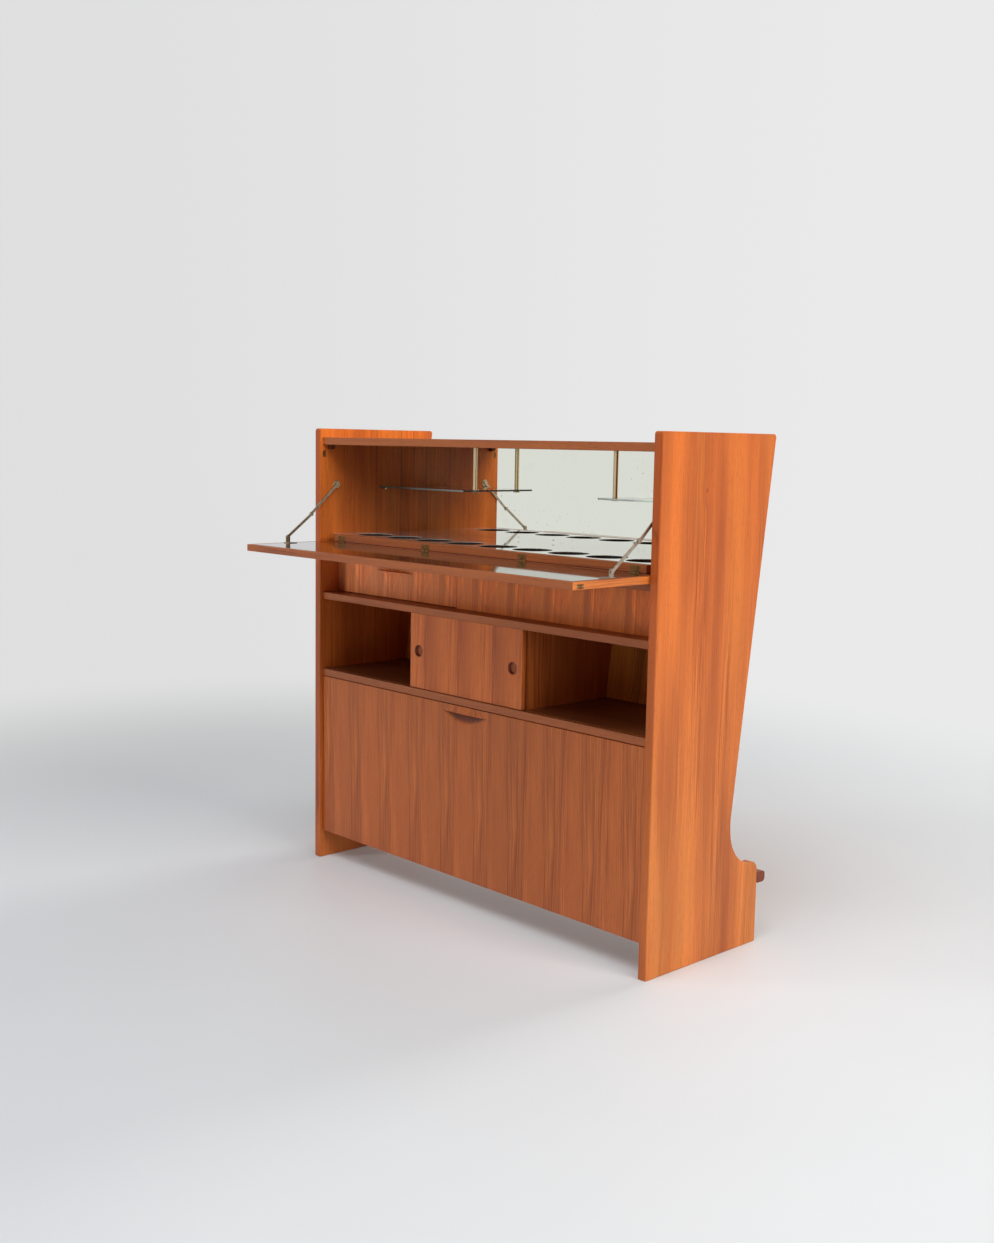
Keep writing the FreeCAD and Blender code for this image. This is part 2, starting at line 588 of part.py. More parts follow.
def eye(x0, at):
    return pin_x(x0 - CUT, x0 + STAY_T + CUT, at[0], at[1], STAY_PIN_R + PIN_PLAY)


def rivet(x0, x1, at):
    """Rivet with a flat head at x0; its peened end stands a little proud at x1."""
    return [pin_x(x0 - STAY_HEAD_T, x1 + STAY_PEEN, at[0], at[1], STAY_PIN_R),
            pin_x(x0 - STAY_HEAD_T, x0, at[0], at[1], STAY_HEAD_R)]


def stay_upper():
    """Long link; its wall pivot stands just off the plate it turns on."""
    pivot = pin_x(UPPER_X, INNER - STAY_PLATE_T - STAY_WALL_PLAY, *STAY_WALL, STAY_PIN_R)
    return fuse([link(UPPER_X, elbow(), STAY_WALL).cut(eye(UPPER_X, elbow())), pivot])


def stay_lower():
    """Short link, carrying the elbow rivet that turns in the long one."""
    bar = link(LOWER_X, STAY_FLAP, elbow()).cut(eye(LOWER_X, STAY_FLAP))
    return fuse([bar] + rivet(LOWER_X, UPPER_X + STAY_T, elbow()))


def stay_wall_plate():
    plate = pin_x(INNER - STAY_PLATE_T, INNER, *STAY_WALL, STAY_PLATE_R)
    return eased(plate, STAY_PLATE_EDGE, lambda c, e: c.x < INNER - STAY_PLATE_T + FIT)


def stay_bracket():
    """Angle bracket screwed to the flap, with its pivot pin."""
    y, z = STAY_FLAP
    x1 = EAR_X + STAY_T
    foot = box(x1 - BRACKET_BASE, x1, y - BRACKET_L / 2, y + BRACKET_L / 2,
               HINGE_Z, HINGE_Z + BRACKET_T)
    ear = [box(EAR_X, x1, y - BRACKET_EAR_R, y + BRACKET_EAR_R, HINGE_Z, z),
           pin_x(EAR_X, x1, y, z, BRACKET_EAR_R)]
    return fuse([foot] + ear + rivet(EAR_X, LOWER_X + STAY_T, STAY_FLAP))


# ---- carved grips ---------------------------------------------------------
def bow_radius(half, rise):
    return (half ** 2 + rise ** 2) / (2 * rise)


def grip_block(half, scoop, above, y0, y1, room=0.0):
    """Body of a grip: a straight strip above the undercut, a bow below it."""
    wide, low = half + GRIP_RIM + room, scoop + GRIP_RIM + room
    strip = box(-wide, wide, y0, y1, 0, above + room)
    r = bow_radius(wide, low)
    bow = rod_y(0, y0, y1, r - low, r).common(box(-wide, wide, y0, y1, -low, CUT))
    return fuse([strip, bow])


def swelling(half, out, reach):
    """Leaning cylinder that stands out most at z = 0 and runs out at half and reach."""
    r = bow_radius(half, out)
    drum = rod_z(0, r - out, -reach, 2 * reach, r)
    drum.rotate(Vector(0, -out, 0), Vector(1, 0, 0), -math.degrees(math.atan2(out, reach)))
    return drum.common(box(-half, half, -out - CUT, CUT, 0, reach))


def grip(half, scoop, lip_h, above):
    """Solid teak grip at the origin: front face y = 0, undercut at z = 0.

    The lip swells out of the face above the undercut; the scoop is the same
    swelling turned inwards below it.
    """
    block = fuse([grip_block(half, scoop, above, 0, GRIP_DEPTH),
                  swelling(half, GRIP_LIP, lip_h)])
    hollow = swelling(half, GRIP_SCOOP, scoop)
    return block.cut(hollow.rotated(Vector(0, 0, 0), Vector(1, 0, 0), 180))


def on_door(shape):
    return shape.translated(Vector(0, SETBACK, DOOR_GRIP_Z))


def on_drawer(shape):
    """The drawer's grip is turned over: its scoop is reached from above."""
    turned = shape.rotated(Vector(0, 0, 0), Vector(0, 1, 0), 180)
    return turned.translated(Vector(DRAWER_GRIP_X, DRAWER_Y0, DRAWER_GRIP_Z))


def door_grip():
    return on_door(grip(DOOR_GRIP_HALF, DOOR_GRIP_SCOOP, DOOR_GRIP_LIP, DOOR_GRIP_TOP))


def drawer_grip():
    return on_drawer(grip(DRAWER_GRIP_HALF, DRAWER_GRIP_SCOOP, DRAWER_GRIP_LIP,
                          DRAWER_GRIP_FOOT))


# ---- drawer ---------------------------------------------------------------
def drawer_front():
    shape = box(DRAWER_X0, DRAWER_X1, DRAWER_Y0, DRAWER_Y1, DRAWER_Z0, DRAWER_Z1)
    return shape.cut(on_drawer(grip_block(DRAWER_GRIP_HALF, DRAWER_GRIP_SCOOP,
                                          DRAWER_GRIP_FOOT, -CUT, GRIP_DEPTH + GRIP_FIT,
                                          GRIP_FIT)))


def drawer_bottom():
    t = DRAWER_SIDE_T / 2
    z0 = BOX_Z0 + DRAWER_BOTTOM_LIFT
    return box(BOX_X0 + t, BOX_X1 - t, DRAWER_Y1, BOX_Y1 - t, z0, z0 + DRAWER_BOTTOM_T)


def drawer_side(x0):
    side = box(x0, x0 + DRAWER_SIDE_T, DRAWER_Y1, BOX_Y1, BOX_Z0, BOX_Z1)
    return side.cut(drawer_bottom())


def drawer_back():
    t = DRAWER_SIDE_T
    back = box(BOX_X0 + t, BOX_X1 - t, BOX_Y1 - t, BOX_Y1, BOX_Z0, BOX_Z1 - DRAWER_BACK_DROP)
    return back.cut(drawer_bottom())


# ---- doors ----------------------------------------------------------------
def sliding_door():
    """Centre door; tongues top and bottom run in the shelf grooves."""
    x0, x1 = SLIDER_X - SLIDER_HALF, SLIDER_X + SLIDER_HALF
    z0, z1 = SHELF_B_Z1 + SLIDER_GAP, SHELF_A_Z0 - SLIDER_GAP
    panel = box(x0, x1, SLIDER_Y0, SLIDER_Y0 + SLIDER_T, z0, z1)
    panel = eased(panel, EDGE, lambda c, e: e.Length > z1 - z0 - CUT and e.Length < x1 - x0 - CUT)
    tongue = (x0 + TONGUE_INSET, x1 - TONGUE_INSET,
              GROOVE_Y0 + TONGUE_PLAY, GROOVE_Y0 + GROOVE_W - TONGUE_PLAY)
    shape = fuse([panel, box(*tongue, z1 - CUT, z1 + TONGUE_A),
                  box(*tongue, z0 - TONGUE_B, z0 + CUT)])
    for x in CUP_XS:
        shape = shape.cut(rod_y(x, SLIDER_Y0 - CUT, SLIDER_Y0 + CUP_DEPTH + FIT, CUP_Z,
                                CUP_R + FIT))
    return shape


def finger_cups():
    """Turned wooden cups, tapering to a flat floor, set flush in the door."""
    cups = []
    for x in CUP_XS:
        cup = rod_y(x, SLIDER_Y0, SLIDER_Y0 + CUP_DEPTH, CUP_Z, CUP_R)
        bore = Part.makeCone(CUP_MOUTH_R, CUP_FLOOR_R, CUP_DEPTH - CUP_FLOOR,
                             Vector(x, SLIDER_Y0, CUP_Z), Vector(0, 1, 0))
        cups.append(cup.cut(bore))
    return Part.Compound(cups)


def lower_door():
    """Drop-down door of the lower compartment, notched for its grip."""
    shape = box(-FLAP_HALF, FLAP_HALF, SETBACK, DOOR_REAR, DOOR_Z0, DOOR_Z1)
    shape = eased(shape, EDGE, lambda c, e: c.y < SETBACK + CUT)
    shape = shape.cut(on_door(grip_block(DOOR_GRIP_HALF, DOOR_GRIP_SCOOP, DOOR_GRIP_TOP,
                                         -CUT, GRIP_DEPTH + GRIP_FIT, GRIP_FIT)))
    for x in DOOR_HINGE_XS:
        shape = shape.cut(knuckle_room(x, DOOR_AXIS))
        shape = shape.cut(door_leaf_seat(x, DOOR_REAR - SUNK[1] - FIT, DOOR_REAR + CUT))
    return shape


# ---- foot rail ------------------------------------------------------------
def dowel(room=0.0):
    """Dowel between the foot nose and the rail, right-hand side."""
    x = INNER + SIDE_T / 2
    return pin(Vector(x, FOOT_DEPTH - DOWEL_IN - room, DOWEL_Z),
               Vector(x, FOOT_DEPTH + DOWEL_RAIL + room, DOWEL_Z), DOWEL_R + room)


def foot_rail():
    """Guests' foot rail: long edges well rounded at the back, ends flush."""
    shape = box(-HALF, HALF, FOOT_DEPTH, RAIL_Y1, RAIL_Z0, RAIL_Z1)
    shape = rounded(shape, RAIL_FRONT_R, lambda c, e: abs(c.x) < CUT and c.y < FOOT_DEPTH + CUT)
    shape = rounded(shape, RAIL_REAR_R, lambda c, e: abs(c.x) < CUT and c.y > RAIL_Y1 - CUT)
    return shape.cut(pair(dowel(FIT)))


# ---- write the nodes ------------------------------------------------------
def nodes():
    side, post, cleat = side_panel(), divider(), tray_cleat()
    upper, lower = stay_upper(), stay_lower()
    return {
        "side_right": side, "side_left": mirrored(side),
        "top_panel": top_panel(), "back_panel": back_panel(),
        "shelf_upper": shelf_upper(), "shelf_lower": shelf_lower(),
        "bottom_panel": bottom_panel(),
        "divider_right": post, "divider_left": mirrored(post),
        "bottle_shelf": bottle_shelf(), "fascia_fixed": fascia_fixed(),
        "drawer_partition": drawer_partition(), "tray_rail": tray_rail(),
        "tray_core": pierced(TRAY_Z0, TRAY_Z1 - LAMINATE_T),
        "tray_laminate": pierced(TRAY_Z1 - LAMINATE_T, TRAY_Z1),
        "tray_cleat_right": cleat, "tray_cleat_left": mirrored(cleat),
        "mirror_board": mirror_board(), "mirror": mirror(),
        "glass_shelf_right": glass_shelf(GLASS_IN_RIGHT),
        "glass_shelf_left": mirrored(glass_shelf(GLASS_IN_LEFT)),
        "shelf_rods": Part.Compound([mirrored(shelf_rod(GLASS_IN_LEFT)),
                                     shelf_rod(GLASS_IN_RIGHT)]),
        "shelf_pegs": shelf_pegs(),
        "flap_hinge_fixed": hinge_leaves(FLAP_HINGE_XS, FLAP_AXIS, RAIL_LEAF, 0),
        "flap_hinge_moving": hinge_leaves(FLAP_HINGE_XS, FLAP_AXIS, FLAP_LEAF, 1),
        "flap_hinge_pins": hinge_pins(FLAP_HINGE_XS, FLAP_AXIS),
        "flap_panel": flap_panel(), "flap_laminate": laminate_bed(HINGE_Z),
        "flap_strikes": pair(flap_strike()), "flap_catches": pair(flap_catch()),
        "flap_stops": pair(flap_stop()),
        "stay_wall_plates": pair(stay_wall_plate()),
        "stay_brackets": pair(stay_bracket()),
        "stay_upper_right": upper, "stay_upper_left": mirrored(upper),
        "stay_lower_right": lower, "stay_lower_left": mirrored(lower),
        "drawer_front": drawer_front(), "drawer_grip": drawer_grip(),
        "drawer_side_left": drawer_side(BOX_X0),
        "drawer_side_right": drawer_side(BOX_X1 - DRAWER_SIDE_T),
        "drawer_back": drawer_back(), "drawer_bottom": drawer_bottom(),
        "sliding_door": sliding_door(), "finger_cups": finger_cups(),
        "lower_door": lower_door(), "door_grip": door_grip(),
        "door_hinge_fixed": hinge_leaves(DOOR_HINGE_XS, DOOR_AXIS, FLOOR_LEAF, 0),
        "door_hinge_moving": hinge_leaves(DOOR_HINGE_XS, DOOR_AXIS, DOOR_LEAF, 1),
        "door_hinge_pins": hinge_pins(DOOR_HINGE_XS, DOOR_AXIS),
        "foot_rail": foot_rail(), "foot_rail_dowels": pair(dowel()),
    }


os.makedirs("parts", exist_ok=True)
for name, shape in nodes().items():
    shape.translate(Vector(0, -FRAME_Y, 0))
    shape.exportStep("parts/" + name + ".step")
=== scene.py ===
import math

import bmesh
import bpy
from mathutils import Matrix, Vector

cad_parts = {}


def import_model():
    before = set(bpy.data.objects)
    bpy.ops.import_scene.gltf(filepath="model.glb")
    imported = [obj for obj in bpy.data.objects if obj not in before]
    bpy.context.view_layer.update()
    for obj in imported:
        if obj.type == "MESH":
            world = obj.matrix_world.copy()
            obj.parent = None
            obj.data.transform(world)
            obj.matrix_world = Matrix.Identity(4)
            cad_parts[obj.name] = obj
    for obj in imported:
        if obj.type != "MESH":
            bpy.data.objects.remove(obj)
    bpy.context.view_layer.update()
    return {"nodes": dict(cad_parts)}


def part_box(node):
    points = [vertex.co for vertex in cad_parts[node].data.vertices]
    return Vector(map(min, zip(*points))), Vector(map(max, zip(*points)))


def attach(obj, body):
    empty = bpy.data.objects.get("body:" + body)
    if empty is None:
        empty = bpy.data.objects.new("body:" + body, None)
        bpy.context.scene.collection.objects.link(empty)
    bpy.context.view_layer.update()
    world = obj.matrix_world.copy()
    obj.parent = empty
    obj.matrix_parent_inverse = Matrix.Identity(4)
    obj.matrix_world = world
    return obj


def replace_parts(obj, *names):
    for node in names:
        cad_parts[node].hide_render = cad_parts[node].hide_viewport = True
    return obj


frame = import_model()

# ---- camera: metres and radians, its lens and sensor in millimetres --------
CAMERA_AT = Vector((2.3071, -2.1513, 1.0713))
YAW, PITCH, ROLL = 0.8165, -0.1277, 0.0176
LENS, SENSOR = 40.24, 36.0

# ---- studio ---------------------------------------------------------------
BACKDROP_DIM, BACKDROP_LIT = (0.735, 0.742, 0.735), (0.825, 0.825, 0.825)
ACROSS, BACKDROP_TURN = Vector((math.cos(YAW), math.sin(YAW), 0.0)), 0.34
AMBIENT, AMBIENT_TONE = 0.02, (0.94, 0.97, 1.0)
FLOOR_TONE = (0.735, 0.755, 0.79)
FLOOR_R, FADE_FROM, FADE_TO = 40.0, 1.3, 3.4
SCUFFS_PER_M, SCUFF_DEPTH = 3.0, 0.015

# ---- wood tones, linear ---------------------------------------------------
TEAK = (0.55, 0.118, 0.017)
TEAK_FRONT = (0.41, 0.098, 0.022)
TEAK_SOLID = (0.31, 0.080, 0.023)
TEAK_DARK = (0.20, 0.040, 0.012)
BEECH = (0.52, 0.33, 0.16)

# ---- depths of cups, scoops and hinge leaves, in metres -------------------
CUP_WALL, CUP_FLOOR = 0.0045, 0.0052
DOOR_SCOOP, DRAWER_SCOOP = 0.004, 0.007
HINGE_LEAF_T, HINGE_LEAF_SINK = 0.0015, 0.0002

# ---- layout of the veneer, in metres --------------------------------------
LEAF_JOINT, LEAF_PITCH, BACK_LEAF = -0.15, 0.1165, 0.28
LEAF_STEP_ALONG, LEAF_STEP_ACROSS = 0.013, 0.0021
KNOT = (0.055, 0.985, 0.004)
LIPPING_W = 0.012
TONGUE_RISE, TONGUE_CURVE = 0.026, 42.0     # the curve is per metre

# ---- figure of the wood ---------------------------------------------------
# each feature's rate per metre across, into and along the grain, its noise's detail,
# roughness and shift, and the levels that it fades in between, where it does
FIGURE = {
    "sway": ((7.0, 1.0, 1.5), 2.0, 0.5, 0.0, None),
    "broad": ((13.0, 9.0, 0.7), 2.0, 0.5, 0.0, None),
    "patch": ((9.0, 1.0, 2.4), 2.0, 0.5, 5.0, None),
    "streak": ((105.0, 60.0, 1.9), 3.0, 0.65, 0.0, None),
    "fibre": ((560.0, 400.0, 7.0), 2.0, 0.6, 0.0, None),
    "pencil": ((240.0, 90.0, 2.2), 3.0, 0.5, 0.0, (0.52, 0.72)),
    "crowd": ((17.0, 1.0, 0.9), 1.0, 0.5, 3.0, (0.48, 0.64)),
    "gold": ((11.0, 1.0, 0.9), 2.0, 0.5, 7.0, (0.46, 0.66)),
    "pores": ((1500.0, 1500.0, 50.0), 1.0, 0.5, 0.0, (0.60, 0.72)),
}
RING_RATE, BOARD_W, SEED_STEP = 1050.0, 0.12, 3.1     # the rate in radians per metre


# ---- material graphs ------------------------------------------------------
class Graph:
    """A node tree, with short calls for the nodes it is made of."""

    def __init__(self, owner):
        owner.use_nodes = True
        self.tree = owner.node_tree

    def feed(self, socket, value):
        if isinstance(value, bpy.types.NodeSocket):
            self.tree.links.new(value, socket)
        elif socket.type == "RGBA":
            socket.default_value = (*value, 1.0)
        else:
            socket.default_value = value

    def node(self, kind, inputs, **settings):
        made = self.tree.nodes.new("ShaderNode" + kind)
        for key, value in settings.items():
            setattr(made, key, value)
        for key, value in inputs.items():
            self.feed(made.inputs[key], value)
        return made

    def maths(self, operation, *values):
        return self.node("Math", dict(enumerate(values)), operation=operation).outputs[0]

    def add(self, *values):
        total = values[0]
        for value in values[1:]:
            total = self.maths("ADD", total, value)
        return total

    def times(self, a, b):
        return self.maths("MULTIPLY", a, b)

    def vector(self, x, y, z):
        return self.node("CombineXYZ", {0: x, 1: y, 2: z}).outputs[0]

    def dot(self, a, b):
        return self.node("VectorMath", {0: a, 1: b}, operation="DOT_PRODUCT").outputs[1]

    def place(self):
        """Object coordinates, which are the row frame's, as three sockets."""
        place = self.node("TexCoord", {}).outputs["Object"]
        return self.node("SeparateXYZ", {0: place}).outputs[:3]

    def noise(self, at, scale=1.0, detail=2.0, rough=0.5):
        inputs = {"Vector": at, "Scale": scale, "Detail": detail, "Roughness": rough}
        return self.node("TexNoise", inputs).outputs[0]

    def smooth(self, value, low, high, to_low=0.0, to_high=1.0):
        inputs = {"Value": value, "From Min": low, "From Max": high,
                  "To Min": to_low, "To Max": to_high}
        return self.node("MapRange", inputs, interpolation_type="SMOOTHSTEP").outputs[0]

    def mix(self, factor, a, b, blend="MIX"):
        made = self.node("Mix", {0: factor}, data_type="RGBA", blend_type=blend)
        self.feed(made.inputs[6], a)
        self.feed(made.inputs[7], b)
        return made.outputs[2]

    def pick(self, mask, a, b):
        """a where the mask is 0, b where it is 1, for single numbers."""
        return self.node("Mix", {0: mask, 2: a, 3: b}, data_type="FLOAT").outputs[0]

    def seen(self):
        """1 for camera, mirror and glass rays, 0 for the light that falls on things."""
        path = self.node("LightPath", {})
        rays = [path.outputs[f"Is {kind} Ray"] for kind in ("Camera", "Glossy", "Transmission")]
        return self.maths("MAXIMUM", rays[0], self.maths("MAXIMUM", rays[1], rays[2]))


class Finish(Graph):
    """A material's graph around its one surface shader."""

    def __init__(self, name, roughness=0.5, metallic=0.0, specular=0.5):
        self.material = bpy.data.materials.new(name)
        super().__init__(self.material)
        self.shader = self.tree.nodes["Principled BSDF"]
        self.put("Roughness", roughness)
        self.put("Metallic", metallic)
        self.put("Specular IOR Level", specular)

    def put(self, socket, value):
        self.feed(self.shader.inputs[socket], value)

    def edge(self, radius):
        """1 on the arrises, 0 on the flats."""
        soft = self.node("Bevel", {"Radius": radius}, samples=4).outputs[0]
        true = self.node("NewGeometry", {}).outputs["Normal"]
        return self.smooth(self.dot(soft, true), 0.98, 0.75)

    def facing(self, axis):
        """1 where the surface looks along +axis, 0 elsewhere."""
        normal = self.node("TexCoord", {}).outputs["Normal"]
        return self.smooth(self.dot(normal, axis), 0.6, 0.8)

    def bump(self, height, strength, distance, normal=None):
        inputs = {"Height": height, "Strength": strength, "Distance": distance}
        if normal:
            inputs["Normal"] = normal
        self.put("Normal", self.node("Bump", inputs).outputs[0])


def scaled(tone, *share):
    """A tone times one share, or times a share for each channel."""
    shares = share * 3 if len(share) == 1 else share
    return tuple(min(1.0, c * s) for c, s in zip(tone, shares))


def drawn(g, feature, across, far, along):
    """A feature of the figure: noise drawn out along the grain, from 0 to 1."""
    rates, detail, rough, shift, levels = FIGURE[feature]
    at = g.vector(g.times(across, rates[0]), g.add(g.times(far, rates[1]), shift),
                  g.times(along, rates[2]))
    made = g.noise(at, 1.0, detail, rough)
    return g.smooth(made, *levels) if levels else made


def laid(g, grain):
    """The place along, across and into the wood, for one way the grain runs.

    X, Y and Z: along that axis.  F: along X on faces that look along Y or Z.  S: along
    Z on faces that look along X.  B: along Z on a leaning back.
    """
    x, y, z = g.place()
    return {"Z": (z, x, y), "X": (x, z, y), "F": (x, g.add(y, z), 0.0),
            "Y": (y, x, z), "S": (z, y, x), "B": (z, x, 0.0)}[grain]


def lipped(g, along, across, half, y0, y1, width):
    """The grain of a lipped board, turned along Y on its short lippings, and the mitres."""
    x, y, z = g.place()
    end = g.maths("SUBTRACT", half, g.maths("ABSOLUTE", x))
    rim = g.maths("MINIMUM", g.maths("SUBTRACT", y, y0), g.maths("SUBTRACT", y1, y))
    past = g.maths("SUBTRACT", g.maths("MINIMUM", rim, width), end)
    turned_over = g.smooth(past, -0.0001, 0.0001)
    seam = g.smooth(g.maths("ABSOLUTE", past), 0.0004, 0.0001)
    return (g.pick(turned_over, along, y), g.pick(turned_over, across, g.add(x, z)), seam)


def leaved(g, along, across, leaf, joint):
    """The grain of veneer laid in leaves, the leaf's number, its joints and its margins."""
    count = g.maths("DIVIDE", g.add(across, -joint), leaf)
    number = g.maths("FLOOR", count)
    within = g.maths("SUBTRACT", count, number)
    off = g.maths("ABSOLUTE", g.add(within, -0.5))
    along = g.add(along, g.times(number, LEAF_STEP_ALONG))
    across = g.add(g.times(within, leaf), g.times(number, LEAF_STEP_ACROSS))
    return along, across, number, g.smooth(off, 0.4960, 0.4995), g.smooth(off, 0.33, 0.48)


def parted(g, lines, along, across, knot):
    """The lines of the grain, pushed apart around a knot, and the knot's dark core."""
    knot_across, knot_along, radius = knot
    apart = g.maths("SQRT", g.add(
        g.maths("POWER", g.add(across, -knot_across), 2.0),
        g.times(g.maths("POWER", g.add(along, -knot_along), 2.0), 0.3)))
    lines = g.add(lines, g.smooth(apart, radius * 7.0, 0.0, 0.0, radius * 2.5))
    return lines, g.smooth(apart, radius, radius * 0.3)


def wood(name, tone, grain="Z", seed=0.0, lively=1.0, bands=1.0, leaf=None, joint=0.0,
         mitre=None, knot=None, tongues=None):
    """Oiled wood: broad bands, streaks, fibre, growth rings, pores and worn arrises.

    lively bends the lines and strengthens the dark ones, bands the broad ones.  leaf and
    joint lay the veneer's leaves out.  mitre is the (half length, y0, y1, width) of a
    lipped board.  knot is (across, along, radius).  tongues, a height and a curve,
    rounds the figure off above that height in every leaf.
    """
    g = Finish(name, specular=0.42)
    along, across, deep = laid(g, grain)
    far = g.add(deep, seed * SEED_STEP)
    height = along
    number = seam = margin = core = outside = 0.0
    if mitre:
        along, across, seam = lipped(g, along, across, *mitre)
    if leaf:
        along, across, number, seam, margin = leaved(g, along, across, leaf, joint)
    bend = drawn(g, "sway", across, far, along)
    lines = g.add(across, g.times(g.add(bend, -0.5), 0.06 * lively))
    if knot:
        lines, core = parted(g, lines, along, across, knot)

    broad, streak, fibre, pencil, crowd, gold, pores = (
        drawn(g, feature, lines, far, along)
        for feature in ("broad", "streak", "fibre", "pencil", "crowd", "gold", "pores"))
    patch = drawn(g, "patch", across, far, along)
    crowd = g.maths("MAXIMUM", crowd, margin)
    close = g.add(0.40, g.times(crowd, 0.85))

    side = g.add(lines, -0.5 * (leaf or BOARD_W))
    bow = g.times(side, side)
    reach = g.add(g.maths("SQRT", g.add(bow, 0.0006)), g.times(along, 0.035 * lively),
                  g.times(streak, 0.008))
    if tongues:
        rise = g.add(g.times(bow, tongues[1]), tongues[0], g.times(height, -1.0))
        outside = g.smooth(g.add(rise, g.times(g.add(broad, -0.5), 0.05)), 0.000, 0.014)
        reach = g.add(reach, g.times(rise, 0.20))
    rings = g.smooth(g.maths("SINE", g.times(g.add(reach, far), RING_RATE)), -0.6, 1.0)
    calm = g.smooth(broad, 0.36, 0.60, 0.9, 0.25)

    value = g.add(0.55, g.times(g.add(broad, -0.5), 1.15 * bands),
                  g.times(g.add(patch, -0.5), 0.85),
                  g.times(g.times(g.add(streak, -0.5), close), 1.15),
                  g.times(g.times(g.add(fibre, -0.5), close), 1.2 + 0.8 * lively),
                  g.times(g.times(rings, calm), -0.13),
                  g.times(g.times(pencil, crowd), -0.34 - 0.50 * lively),
                  g.times(margin, -0.08))
    colour = g.mix(value, scaled(tone, 0.58, 0.48, 0.44), scaled(tone, 1.28, 1.40, 1.34))
    colour = g.mix(g.times(gold, 0.12 + 0.3 * (bands - 1.0)), colour,
                   scaled(tone, 1.16, 1.55, 1.45))
    if leaf:
        tint = g.noise(g.vector(g.times(number, 3.7), seed, 0.5), 1.0, 0.0)
        level = g.smooth(tint, 0.25, 0.75, 0.92, 1.07)
        colour = g.node("HueSaturation", {"Value": level, "Color": colour}).outputs[0]
    colour = g.mix(g.times(outside, 0.38), colour, scaled(tone, 0.50, 0.62, 0.80))
    colour = g.mix(g.times(pores, 0.42), colour, scaled(tone, 0.32))
    colour = g.mix(g.maths("MAXIMUM", g.times(seam, 0.35), g.times(core, 0.7)), colour,
                   scaled(tone, 0.30))
    colour = g.mix(g.times(g.edge(0.0012), 0.45), colour, scaled(tone, 0.52, 0.42, 0.42))
    g.put("Base Color", colour)
    g.put("Roughness", g.add(g.times(fibre, 0.16), 0.36))
    g.bump(g.add(g.times(fibre, 0.5), pores), 0.14, 0.0004)
    return g


def toned(g, mask, tone, share=1.0):
    """Wood whose colour turns to a tone where a mask says so, its figure kept."""
    colour = g.shader.inputs["Base Color"].links[0].from_socket
    tinted = g.mix(1.0, colour, tone, "MULTIPLY")
    g.put("Base Color", g.mix(g.times(mask, share), colour, tinted))
    return g


def shaded_hollow(g, face, floor, share):
    """Wood painted darker as it goes deeper behind a face: painted shade in a hollow."""
    y = g.place()[1]
    return toned(g, g.smooth(y, face, floor), (0.30, 0.22, 0.19), share)


def painted_light_ramp(g, dark_x, pale_x, tone):
    """Wood painted paler from one x to another: painted light on the end that is lit more."""
    return toned(g, g.smooth(g.place()[0], dark_x, pale_x), tone)


def cups(name, seed):
    """Finger cups: a dark turned wall around a floor as pale as the door."""
    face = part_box("finger_cups")[0].y
    g = wood(name, TEAK_DARK, "X", seed, lively=0.5)
    y = g.place()[1]
    flat = g.times(g.smooth(y, face + CUP_WALL, face + CUP_FLOOR), g.facing((0.0, -1.0, 0.0)))
    colour = g.shader.inputs["Base Color"].links[0].from_socket
    g.put("Base Color", g.mix(flat, colour, scaled(TEAK_FRONT, 0.62)))
    return g


def laminate(name, tone, rough, dust, coat=0.0):
    """Pressed laminate with fine rubbing marks and a little dust."""
    g = Finish(name)
    g.put("Coat Weight", coat)
    x, y, z = g.place()
    at = g.vector(x, y, z)
    rub = g.noise(g.vector(g.times(x, 30.0), g.times(y, 420.0), z), 1.0, 3.0)
    smear = g.smooth(g.noise(at, 9.0, 4.0), 0.45, 0.75)
    specks = g.smooth(g.noise(at, 900.0, 1.0), 0.72, 0.80)
    colour = g.mix(g.times(smear, 0.35 * dust), tone, (0.55, 0.52, 0.48))
    g.put("Base Color", g.mix(g.times(specks, 0.5 * dust), colour, (0.6, 0.58, 0.55)))
    g.put("Roughness", g.add(g.times(rub, 0.06), g.times(smear, 0.08), rough - 0.03))
    g.bump(rub, 0.02, 0.0002)
    return g


def silvering(name):
    """Aged mirror: pale green cast, foxing specks and a tarnished lower edge."""
    g = Finish(name, metallic=1.0)
    x, y, z = g.place()
    at = g.vector(x, y, z)
    specks = g.smooth(g.noise(at, 150.0, 2.0), 0.68, 0.76, 0.0, 0.6)
    bloom = g.smooth(g.noise(at, 14.0, 5.0, 0.6), 0.56, 0.78)
    rim = g.smooth(z, MIRROR_FOOT + 0.012, MIRROR_FOOT, 0.0, 0.7)
    patches = g.smooth(g.noise(at, 6.0, 2.0), 0.42, 0.66)
    stain = g.maths("MAXIMUM", g.times(specks, patches), g.times(rim, bloom))
    colour = g.mix(g.times(bloom, 0.30), (0.935, 0.95, 0.865), (0.80, 0.80, 0.68))
    g.put("Base Color", g.mix(stain, colour, (0.20, 0.17, 0.11)))
    g.put("Roughness", g.add(0.012, g.times(g.add(bloom, stain), 0.08)))
    return g


def metal(name, tone, rough, tarnish, brushed=1.0):
    """Worn metal: brushed along X, darkened where hands don't rub it."""
    g = Finish(name, metallic=1.0)
    x, y, z = g.place()
    brush = g.noise(g.vector(g.times(x, 120.0), g.times(y, 900.0), g.times(z, 900.0)), 1.0, 2.0)
    spots = g.smooth(g.noise(g.vector(x, y, z), 160.0, 4.0), 0.40, 0.72)
    colour = g.mix(g.times(spots, tarnish), tone, scaled(tone, 0.35))
    g.put("Base Color", g.mix(g.times(g.edge(0.0004), 0.4), colour, scaled(tone, 1.3)))
    g.put("Roughness", g.add(g.times(brush, 0.16 * brushed), g.times(spots, 0.2 * brushed),
                             rough - 0.1 * brushed))
    soft = g.node("Bevel", {"Radius": 0.0009}, samples=6).outputs[0]
    g.bump(brush, 0.05 * brushed, 0.0002, soft)
    return g


